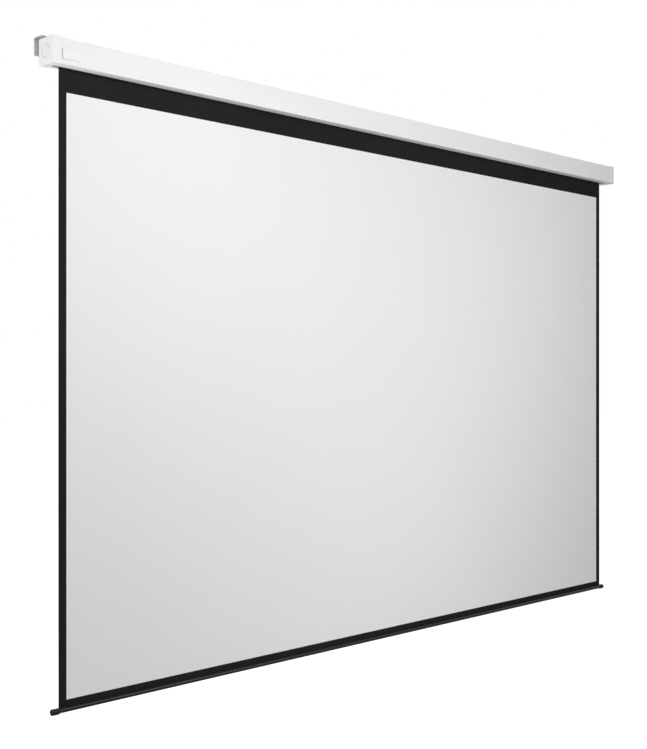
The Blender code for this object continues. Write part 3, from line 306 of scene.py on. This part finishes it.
# The wall and ceiling brackets
# Bent zinc-plated steel plate, one at each end, with two holes in each leg. A countersunk screw
# through the top leg pulls a nut that slides in the rail of the case.
ZINC_GREY = (0.43, 0.435, 0.45)
CROSS_DRAFT = 0.00008
BRACKET_CROSS = (0.0024, 0.0009, 0.0013)


def plated(name, colour, roughness, grain=(1.0, 1.0, 1.0), metallic=0.85, cloud=0.1):
    """Zinc-plated steel: cloudy passivation over the fine lines of rolled sheet."""
    look, tree, shader, place = start_look(name, colour, roughness, metallic)
    tint(tree, shader, noise(tree, place, 0.006, 4.0, (1.0, 1.0, 1.0), 0.6), colour, cloud)
    lines = noise(tree, place, 0.0004, 2.0, grain)
    vary_roughness(tree, shader, noise(tree, place, 0.004, 3.0), roughness - 0.08, roughness + 0.12)
    raise_grain(tree, shader, lines, 0.00002, 0.35)
    return look


def driven_screw(node, name, out, cross):
    """A packed screw with a cross sunk into the end of its head, of a reach, a width and a depth."""
    reach, width, depth = cross
    out = Vector(out)
    across = Vector((0.0, 1.0, 0.0))
    screw = joined(node)
    top = max(point.co.dot(out) for point in screw.verts)

    def flat_end():
        screw.normal_update()
        return [f for f in screw.faces if all(abs(v.co.dot(out) - top) < 1e-6 for v in f.verts)]

    centre = flat_end()[0].calc_center_median()
    for direction in (across, across.cross(out)):
        for distance in (-reach, -width / 2, width / 2, reach):
            flats = flat_end()
            edges = dict.fromkeys(edge for face in flats for edge in face.edges)
            corners = dict.fromkeys(corner for face in flats for corner in face.verts)
            bmesh.ops.bisect_plane(
                screw,
                geom=[*flats, *edges, *corners],
                dist=1e-7,
                plane_co=centre + direction * distance,
                plane_no=direction,
            )
    arms = []
    for face in flat_end():
        place = face.calc_center_median() - centre
        sizes = sorted((abs(place.dot(across)), abs(place.dot(across.cross(out)))))
        if sizes[0] < width / 2 and sizes[1] < reach:
            arms.append(face)
    bmesh.ops.inset_region(screw, faces=arms, thickness=CROSS_DRAFT, depth=-depth, use_even_offset=True)
    return finished(screw, name, screw_look, "case", node)


bracket_look = plated("bracket_zinc_look", ZINC_GREY, 0.42, (30.0, 1.0, 1.0), 0.6, 0.07)
screw_look = plated("bright_zinc_look", (0.52, 0.52, 0.50), 0.36)
for hand in ("left", "right"):
    refined(hand + "_bracket", hand + "_bent_bracket", bracket_look, "case")
    driven_screw(hand + "_bracket_screw", hand + "_sunk_screw", (0, 0, 1), BRACKET_CROSS)
    refined(hand + "_rail_nut", hand + "_sliding_nut", screw_look, "case")


# The end plates and their screws
# A zinc-plated steel plate closes each end of the case and carries the roller. Three pan-head
# screws cut their own thread in the screw ports of the extrusion, and two hold the motor's head.
PAN_HEAD_CROSS = (0.0018, 0.0007, 0.0012)
plate_look = plated("end_plate_look", (0.58, 0.59, 0.60), 0.36, (1.0, 1.0, 30.0))
refined("motor_end_plate", "motor_side_plate", plate_look, "case")
refined("idler_end_plate", "idler_side_plate", plate_look, "case")
for end, out in (("motor", (-1, 0, 0)), ("idler", (1, 0, 0))):
    for number in (1, 2, 3):
        driven_screw(f"{end}_plate_screw_{number}", f"{end}_port_screw_{number}", out, PAN_HEAD_CROSS)
for number in (1, 2):
    driven_screw(f"motor_head_screw_{number}", f"head_fixing_screw_{number}", (-1, 0, 0), PAN_HEAD_CROSS)


# The roller and the turns that stay on it
# A drawn aluminium tube with a flat groove. A plastic strip clamps the top edge of the sheet in the
# groove, and two turns stay on the tube when the screen is down.


def drawn_metal(name, colour, roughness, metallic=0.95):
    """Drawn or turned metal, with long fine die lines along X."""
    look, tree, shader, place = start_look(name, colour, roughness, metallic)
    tint(tree, shader, noise(tree, place, 0.0012, 3.0, (120.0, 1.0, 1.0)), colour, 0.06)
    lines = noise(tree, place, 0.0005, 2.0, (200.0, 1.0, 1.0))
    vary_roughness(tree, shader, lines, roughness - 0.07, roughness + 0.1)
    raise_grain(tree, shader, lines, 0.00002, 0.4)
    return look


roller_look = drawn_metal("roller_aluminium_look", (0.77, 0.78, 0.79), 0.32)
strip_look = moulded("clamp_strip_look", (0.05, 0.05, 0.05), 0.5)
wound_look = moulded("wound_vinyl_look", (0.03, 0.03, 0.031), 0.62, 0.0006, 0.00006)
refined("roller_tube", "roller_shell", roller_look, "roller")
refined("sheet_clamp_strip", "clamp_strip", strip_look, "roller")
refined("wound_sheet", "wound_turns", wound_look, "roller")


# The sheet
# Glass-fibre cloth coated with vinyl, 0.5 mm thick: a matt white face with a black drop above it,
# thin black borders beside and below it, and a black back. The lowest part stays with the bar, and
# the rest draws up into the case.
PICTURE_HALF = 1.325
PICTURE_TOP = -0.139
PICTURE_BOTTOM = -1.795
SHEET_TOP = -0.0718
SHEET_BOTTOM = -1.8153
SHEET_HALF = 1.350
SHEET_Y = -0.02955
SHEET_THICK = 0.0005
BAR_PART_TOP = -1.8072
CLOTH_COLUMNS = 72
CLOTH_ROWS = 48
WAVE_DEPTH = 0.0003
WAVES_FROM = 0.04
WAVES_SPAN = 0.94
EDGE_CURL = 0.0003
CURL_POWER = 12


def coated_cloth(name, colour, roughness, drift, height, gloss):
    """Vinyl over a fine weave. The pattern lies on the cloth's own map, which is in metres."""
    look, tree, shader, _ = start_look(name, colour, roughness, 0.0, gloss)
    cloth = tree.nodes.new("ShaderNodeUVMap")
    cloth.uv_map = "cloth"
    place = cloth.outputs["UV"]
    tint(tree, shader, noise(tree, place, 0.35, 2.0), colour, drift)
    weave = []
    for direction in ("X", "Y"):
        threads = tree.nodes.new("ShaderNodeTexWave")
        threads.wave_type = "BANDS"
        threads.bands_direction = direction
        threads.inputs["Scale"].default_value = 160.0
        threads.inputs["Distortion"].default_value = 1.5
        threads.inputs["Detail"].default_value = 1.0
        tree.links.new(place, threads.inputs["Vector"])
        weave.append(threads.outputs["Fac"])
    cross = tree.nodes.new("ShaderNodeMath")
    cross.operation = "MULTIPLY"
    tree.links.new(weave[0], cross.inputs[0])
    tree.links.new(weave[1], cross.inputs[1])
    vary_roughness(tree, shader, noise(tree, place, 0.004, 2.0), roughness - 0.05, roughness + 0.05)
    raise_grain(tree, shader, cross.outputs["Value"], height, 0.4)
    return look


white_face = coated_cloth("screen_white_face_look", (0.885, 0.885, 0.885), 0.82, 0.004, 0.00003, 0.2)
black_border = coated_cloth("screen_black_border_look", (0.020, 0.020, 0.020), 0.7, 0.05, 0.00003, 0.0)
black_back = coated_cloth("screen_black_back_look", (0.018, 0.018, 0.019), 0.6, 0.08, 0.00005, 0.2)


def map_cloth(work):
    """Lays the cloth's own map over it, in metres across and down."""
    layer = work.loops.layers.uv.new("cloth")
    for face in work.faces:
        for corner in face.loops:
            corner[layer].uv = (corner.vert.co.x, corner.vert.co.z)


def hanging_cloth(name, top, bottom, rows, body):
    """The flat sheet between two heights, with its borders and its black back."""
    cloth = bmesh.new()
    bmesh.ops.create_grid(cloth, x_segments=CLOTH_COLUMNS, y_segments=rows, size=0.5)
    upright = Matrix.Rotation(math.radians(90), 3, "X")
    bmesh.ops.rotate(cloth, verts=cloth.verts, cent=(0, 0, 0), matrix=upright)
    bmesh.ops.scale(cloth, verts=cloth.verts, vec=(2 * SHEET_HALF, 1.0, top - bottom))
    front_y = SHEET_Y - SHEET_THICK / 2
    bmesh.ops.translate(cloth, verts=cloth.verts, vec=(0.0, front_y, (top + bottom) / 2))
    for place, across in (
        ((-PICTURE_HALF, 0, 0), (1, 0, 0)),
        ((PICTURE_HALF, 0, 0), (1, 0, 0)),
        ((0, 0, PICTURE_TOP), (0, 0, 1)),
        ((0, 0, PICTURE_BOTTOM), (0, 0, 1)),
    ):
        whole = cloth.verts[:] + cloth.edges[:] + cloth.faces[:]
        bmesh.ops.bisect_plane(cloth, geom=whole, dist=1e-5, plane_co=place, plane_no=across)
    for point in cloth.verts:
        down = (SHEET_TOP - point.co.z) / (SHEET_TOP - SHEET_BOTTOM)
        free = math.sin(math.pi * min(max((down - WAVES_FROM) / WAVES_SPAN, 0.0), 1.0))
        x = point.co.x
        wave = 0.35 * math.sin(4.1 * x + 1.3) + 0.25 * math.sin(9.7 * x + 2.1 * down)
        wave += 0.15 * math.sin(17 * x)
        edge = (abs(x) / SHEET_HALF) ** CURL_POWER
        point.co.y += free * (WAVE_DEPTH * wave + EDGE_CURL * edge)
    for face in cloth.faces:
        centre = face.calc_center_median()
        inside = abs(centre.x) < PICTURE_HALF and PICTURE_BOTTOM < centre.z < PICTURE_TOP
        face.material_index = 0 if inside else 1
    bmesh.ops.recalc_face_normals(cloth, faces=cloth.faces)
    if sum(f.normal.y for f in cloth.faces) > 0:
        bmesh.ops.reverse_faces(cloth, faces=cloth.faces)
    bmesh.ops.solidify(cloth, geom=cloth.faces[:], thickness=SHEET_THICK)
    cloth.normal_update()
    for face in cloth.faces:
        if face.normal.y > -0.5:
            face.material_index = 2
    map_cloth(cloth)
    piece = finished(cloth, name, white_face, body, "screen_sheet")
    piece.data.materials.append(black_border)
    piece.data.materials.append(black_back)
    return piece


hanging = hanging_cloth("hanging_sheet", SHEET_TOP, BAR_PART_TOP, CLOTH_ROWS, "case")
low_border = hanging_cloth("low_border", BAR_PART_TOP, SHEET_BOTTOM, 1, "bar")
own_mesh(hanging)


# The sheet inside the case and inside the bar
# The same cloth runs off the back of the roll, over the nose of the guide and down through the
# slot, and its hem is sewn round a steel rod that lies in the weight bar.
ROLL_AXIS = (-0.03825, -0.0395)
ROLL_RADIUS = 0.02445
NOSE = (-0.026, -0.07125)
NOSE_RADIUS = 0.00355
NOSE_STEPS = 10
ROD_CENTRE_Z = -1.8198
HEM_RADIUS = 0.00305
HEM_NECK = 0.0003
HEM_FROM = 130
HEM_TURN = 270
HEM_STEPS = 12
JOIN_GAP = 0.0002


def strip_along(points, name, body):
    """A strip of the cloth that follows a line of YZ points."""
    work = bmesh.new()
    first = [work.verts.new((x, *points[0])) for x in (-SHEET_HALF, SHEET_HALF)]
    edge = work.edges.new(first)
    for before, after in zip(points, points[1:]):
        made = bmesh.ops.extrude_edge_only(work, edges=[edge])["geom"]
        moved = [g for g in made if isinstance(g, bmesh.types.BMVert)]
        step = (0.0, after[0] - before[0], after[1] - before[1])
        bmesh.ops.translate(work, verts=moved, vec=step)
        edges = [g for g in made if isinstance(g, bmesh.types.BMEdge)]
        edge = [e for e in edges if all(v in moved for v in e.verts)][0]
    bmesh.ops.solidify(work, geom=work.faces[:], thickness=SHEET_THICK)
    bmesh.ops.recalc_face_normals(work, faces=work.faces)
    map_cloth(work)
    return finished(work, name, black_back, body, "screen_sheet", 50)


between = Vector(NOSE) - Vector(ROLL_AXIS)
leave = math.atan2(between.y, between.x) + math.acos((ROLL_RADIUS + NOSE_RADIUS) / between.length)
lead_line = [(ROLL_AXIS[0] + ROLL_RADIUS * math.cos(leave), ROLL_AXIS[1] + ROLL_RADIUS * math.sin(leave))]
for step in range(NOSE_STEPS + 1):
    angle = math.pi + leave * (1 - step / NOSE_STEPS)
    lead_line.append((NOSE[0] + NOSE_RADIUS * math.cos(angle), NOSE[1] + NOSE_RADIUS * math.sin(angle)))
lead_line.append((SHEET_Y, SHEET_TOP + JOIN_GAP))
lead = strip_along(lead_line, "sheet_in_case", "case")
hem_line = [(SHEET_Y, SHEET_BOTTOM - JOIN_GAP), (SHEET_Y, ROD_CENTRE_Z + HEM_RADIUS + HEM_NECK)]
for step in range(HEM_STEPS + 1):
    angle = math.radians(HEM_FROM + HEM_TURN * step / HEM_STEPS)
    hem_line.append((SHEET_Y + HEM_RADIUS * math.cos(angle), ROD_CENTRE_Z + HEM_RADIUS * math.sin(angle)))
hem = strip_along(hem_line, "sheet_hem", "bar")


# The weight bar
# A round slotted steel tube, painted satin black. The hem slides in from one end with its rod, and
# the weight of both keeps the sheet flat.
BAR_RADIUS = 0.00675
BAR_WALL = 0.0012
BAR_SLOT = 0.0015
BAR_STEPS = 72
bar_look = powder_coat("bar_black_paint_look", (0.009, 0.009, 0.009), 0.22, 0.26, 0.0018, 0.00003)
low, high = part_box("weight_bar")
centre = Vector((0.0, SHEET_Y, (low.z + high.z) / 2))
half_slot = math.asin(BAR_SLOT / 2 / BAR_RADIUS)
slot_side = Vector((0.0, math.sin(half_slot), math.cos(half_slot))) * BAR_RADIUS
tube = bmesh.new()
start = tube.verts.new((low.x, centre.y + slot_side.y, centre.z + slot_side.z))
bmesh.ops.spin(
    tube, geom=[start], cent=centre, axis=(1, 0, 0), angle=2 * half_slot - math.tau, steps=BAR_STEPS
)
made = bmesh.ops.extrude_edge_only(tube, edges=tube.edges[:])["geom"]
far_end = [g for g in made if isinstance(g, bmesh.types.BMVert)]
bmesh.ops.translate(tube, verts=far_end, vec=(high.x - low.x, 0, 0))
bmesh.ops.recalc_face_normals(tube, faces=tube.faces)
if sum((f.calc_center_median() - centre).yz.dot(f.normal.yz) for f in tube.faces) < 0:
    bmesh.ops.reverse_faces(tube, faces=tube.faces)
bmesh.ops.solidify(tube, geom=tube.faces[:], thickness=BAR_WALL)
bmesh.ops.recalc_face_normals(tube, faces=tube.faces)
finished(tube, "bar_tube", bar_look, "bar", "weight_bar")
rod_look = plated("hem_rod_look", (0.5, 0.5, 0.5), 0.4)
refined("hem_rod", "hem_wire", rod_look, "bar")


# The sleeves at the ends of the bar
# Round black ABS sleeves, a little thicker than the bar, pushed over its ends. They are glossier
# than the paint and have a soft outer rim.
SLEEVE_PLAY = 0.0003
SLEEVE_END_WALL = 0.003
SLEEVE_OUTER_RIM = 0.0018
SLEEVE_INNER_RIM = 0.0004
sleeve_look = moulded("bar_sleeve_look", (0.007, 0.007, 0.007), 0.2, 0.0006, 0.00002, 0.05, 0.18)
for side, hand in ((-1, "left"), (1, "right")):
    low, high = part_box(hand + "_bar_cap")
    middle = (low + high) / 2
    outer = high.x if side > 0 else low.x
    inner = low.x if side > 0 else high.x
    back = outer - side * SLEEVE_END_WALL
    radius = (high.z - low.z) / 2
    bore = BAR_RADIUS + SLEEVE_PLAY
    sleeve = turned_piece(
        [(outer, 0.0), (outer, radius), (inner, radius), (inner, bore), (back, bore), (back, 0.0)],
        middle,
    )
    soften(sleeve, ring_at(sleeve, outer, middle, radius), SLEEVE_OUTER_RIM, 6)
    soften(sleeve, ring_at(sleeve, inner, middle, radius), SLEEVE_INNER_RIM, 3)
    bmesh.ops.recalc_face_normals(sleeve, faces=sleeve.faces)
    finished(sleeve, hand + "_bar_sleeve", sleeve_look, "bar", hand + "_bar_cap")


# The motor inside the left end of the roller
# A tubular motor: a black head screwed to the end plate, a steel tube with the switches, capacitor,
# motor, brake and planetary gearbox in it, and a drive wheel that turns the roller.
head_look = moulded("motor_head_look", (0.04, 0.04, 0.04), 0.48)
motor_tube_look = drawn_metal("motor_tube_look", (0.55, 0.55, 0.56), 0.3)
shield_look = plated("motor_shield_look", (0.55, 0.55, 0.56), 0.5)
core_look = drawn_metal("laminated_core_look", (0.36, 0.34, 0.33), 0.5, 0.7)
switch_look = moulded("switch_block_look", (0.70, 0.70, 0.65), 0.5)
can_look = moulded("capacitor_can_look", (0.75, 0.75, 0.72), 0.35)
lining_look = moulded("brake_lining_look", (0.20, 0.17, 0.15), 0.85, 0.0004, 0.0001, 0.2)
bronze_look = plated("rotor_bush_look", (0.60, 0.42, 0.20), 0.4)
shaft_look = drawn_metal("ground_shaft_look", (0.62, 0.62, 0.62), 0.22)
nylon_look = moulded("white_nylon_look", (0.86, 0.86, 0.83), 0.5, 0.0008, 0.00004)
black_look = moulded("black_nylon_look", (0.045, 0.045, 0.045), 0.5)
yellow_look = moulded("yellow_screw_look", (0.85, 0.66, 0.06), 0.45)
for node, name, look, slot, body in (
    ("motor_head", "head_moulding", head_look, "black_plastic", "case"),
    ("motor_tube", "motor_casing", motor_tube_look, "motor_steel", "case"),
    ("limit_switch_block", "switch_gear", switch_look, "switch_plastic", "case"),
    ("run_capacitor", "capacitor", can_look, "capacitor_can", "case"),
    ("motor_rear_shield", "rear_bearing_shield", shield_look, "motor_zinc", "case"),
    ("motor_front_shield", "front_bearing_shield", shield_look, "motor_zinc", "case"),
    ("rear_rotor_bush", "rear_bronze_bush", bronze_look, "bush_bronze", "case"),
    ("front_rotor_bush", "front_bronze_bush", bronze_look, "bush_bronze", "case"),
    ("motor_stator", "stator_core", core_look, "core_steel", "case"),
    ("motor_brake", "brake_coil", black_look, "black_plastic", "case"),
    ("gearbox", "gear_housing", shield_look, "motor_zinc", "case"),
    ("motor_rotor", "rotor_core", core_look, "core_steel", "rotor"),
    ("brake_disc", "friction_disc", lining_look, "brake_lining", "rotor"),
    ("rotor_shaft", "rotor_spindle", shaft_look, "shaft_steel", "rotor"),
    ("output_shaft", "drive_spindle", shaft_look, "shaft_steel", "roller"),
    ("shaft_clip", "drive_clip", shaft_look, "shaft_steel", "roller"),
    ("drive_wheel", "drive_hub", black_look, "black_plastic", "roller"),
    ("crown_ring", "limit_crown", nylon_look, "white_nylon", "roller"),
    ("upper_limit_screw", "upper_stop_screw", yellow_look, "yellow_plastic", "upper_screw"),
    ("lower_limit_screw", "lower_stop_screw", nylon_look, "white_nylon", "lower_screw"),
):
    refined(node, name, look, body)


# The idler in the right end of the roller
# A black plug with a sprung steel pin. The pin turns in a nylon bush in the end plate and is pushed
# in to lift the roller out, which shortens the coil spring behind it.
for node, name, look, slot, body in (
    ("idler_plug", "end_plug", black_look, "black_plastic", "roller"),
    ("idler_stop_ring", "pin_stop_ring", shaft_look, "shaft_steel", "roller"),
    ("idler_pin", "sprung_pin", shaft_look, "shaft_steel", "pin"),
    ("idler_bush", "pin_bush", nylon_look, "white_nylon", "case"),
):
    refined(node, name, look, body)
spring = refined("idler_spring", "pin_spring", shaft_look, "roller")
low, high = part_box("idler_spring")
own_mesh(spring)


# The supply inlet
# A rubber grommet in the back of the left cap, a two-way terminal block on the cap's floor and a
# short black lead from it to the motor head.
rubber_look = moulded("grommet_rubber_look", (0.03, 0.03, 0.03), 0.7, 0.0006, 0.00006)
lead_look = moulded("lead_sheath_look", (0.03, 0.03, 0.03), 0.45, 0.0006, 0.00003)
refined("inlet_grommet", "cable_grommet", rubber_look, "case")
refined("terminal_block", "connector_block", switch_look, "case")
refined("motor_lead", "short_lead", lead_look, "case")


# The floor
# A plain white floor far below, which keeps the object's shadow and isn't part of it. From below it
# lets the view through, so that the underside can be seen.
FLOOR_Z = -2.6
FLOOR_WHITE = 0.8
floor_mesh = bmesh.new()
bmesh.ops.create_grid(floor_mesh, x_segments=1, y_segments=1, size=40.0)
bmesh.ops.translate(floor_mesh, verts=floor_mesh.verts, vec=(0, 0, FLOOR_Z))
mesh = bpy.data.meshes.new("floor")
floor_mesh.to_mesh(mesh)
floor_mesh.free()
floor = bpy.data.objects.new("floor", mesh)
bpy.context.scene.collection.objects.link(floor)
paint = bpy.data.materials.new("floor_white")
paint.use_nodes = True
tree = paint.node_tree
tree.nodes.clear()
matt = tree.nodes.new("ShaderNodeBsdfDiffuse")
matt.inputs["Color"].default_value = (FLOOR_WHITE, FLOOR_WHITE, FLOOR_WHITE, 1.0)
glow = tree.nodes.new("ShaderNodeEmission")
path_kind = tree.nodes.new("ShaderNodeLightPath")
lift = tree.nodes.new("ShaderNodeMath")
lift.operation = "MULTIPLY"
lift.inputs[1].default_value = FLOOR_WHITE
both = tree.nodes.new("ShaderNodeAddShader")
clear = tree.nodes.new("ShaderNodeBsdfTransparent")
below = tree.nodes.new("ShaderNodeNewGeometry")
choose = tree.nodes.new("ShaderNodeMixShader")
out = tree.nodes.new("ShaderNodeOutputMaterial")
tree.links.new(path_kind.outputs["Is Camera Ray"], lift.inputs[0])
tree.links.new(lift.outputs["Value"], glow.inputs["Strength"])
tree.links.new(matt.outputs["BSDF"], both.inputs[0])
tree.links.new(glow.outputs["Emission"], both.inputs[1])
tree.links.new(below.outputs["Backfacing"], choose.inputs["Fac"])
tree.links.new(both.outputs["Shader"], choose.inputs[1])
tree.links.new(clear.outputs["BSDF"], choose.inputs[2])
tree.links.new(choose.outputs["Shader"], out.inputs["Surface"])
mesh.materials.append(paint)


# The light
# Soft boxes in front, at the left and behind, and dim even light from all round. The camera and
# whatever is mirrored in the object see the room as plain white.
LIGHT_ALL_ROUND = 0.29
world = bpy.data.worlds.new("even_light")
bpy.context.scene.world = world
world.use_nodes = True
tree = world.node_tree
tree.nodes.clear()
pick = tree.nodes.new("ShaderNodeMixShader")
for socket, strength in ((1, LIGHT_ALL_ROUND), (2, 1.0)):
    room = tree.nodes.new("ShaderNodeBackground")
    room.inputs["Color"].default_value = (1.0, 1.0, 1.0, 1.0)
    room.inputs["Strength"].default_value = strength
    tree.links.new(room.outputs["Background"], pick.inputs[socket])
kind = tree.nodes.new("ShaderNodeLightPath")
seen = kind.outputs["Is Camera Ray"]
for ray in ("Is Glossy Ray", "Is Transmission Ray"):
    either = tree.nodes.new("ShaderNodeMath")
    either.operation = "MAXIMUM"
    tree.links.new(seen, either.inputs[0])
    tree.links.new(kind.outputs[ray], either.inputs[1])
    seen = either.outputs["Value"]
tree.links.new(seen, pick.inputs["Fac"])
out = tree.nodes.new("ShaderNodeOutputWorld")
tree.links.new(pick.outputs["Shader"], out.inputs["Surface"])


def soft_lamp(name, place, aim, wide, high, power):
    """A soft box that faces a point. The camera doesn't see it."""
    lamp = bpy.data.lights.new(name, "AREA")
    lamp.shape = "RECTANGLE"
    lamp.size = wide
    lamp.size_y = high
    lamp.energy = power
    holder = bpy.data.objects.new(name, lamp)
    holder.location = place
    holder.rotation_euler = (Vector(aim) - Vector(place)).to_track_quat("-Z", "Y").to_euler()
    holder.visible_camera = False
    bpy.context.scene.collection.objects.link(holder)


soft_lamp("left_end_lamp", (-1.22, -1.5, -0.02), (-1.22, 0.0, -0.25), 0.35, 0.35, 6.8)
soft_lamp("left_lamp", (-2.7, -1.8, 0.15), (-0.8, 0.0, -0.5), 1.2, 1.2, 6.3)
soft_lamp("front_lamp", (0.1, -2.0, -0.2), (0.0, 0.0, -0.9), 2.6, 1.2, 22.0)
soft_lamp("near_lamp", (0.3, -1.3, -1.0), (0.2, 0.0, -1.1), 1.6, 1.6, 1.3)
soft_lamp("low_lamp", (0.0, -1.0, -1.6), (0.0, 0.0, -1.4), 1.0, 0.6, 1.05)
soft_lamp("low_side_lamp", (-3.4, 0.25, -1.6), (-1.39, -0.04, -0.06), 1.0, 1.0, 50.3)
soft_lamp("back_lamp", (0.3, 2.8, 1.3), (0.0, 0.0, -0.5), 2.6, 2.0, 60.0)


# The camera
# It stands level, out beyond the left end, and looks across the screen at 45 degrees, as the
# photograph does.
bpy.context.scene.view_settings.view_transform = "Standard"
camera_data = bpy.data.cameras.new("camera")
camera_data.lens = 56.5
camera_data.sensor_width = 36.0
camera_data.shift_y = 0.0044
camera = bpy.data.objects.new("camera", camera_data)
camera.location = (-3.090, -2.7985, -0.917)
camera.rotation_euler = Euler((math.radians(90), 0.0, math.radians(-44.85)))
bpy.context.scene.collection.objects.link(camera)
bpy.context.scene.camera = camera
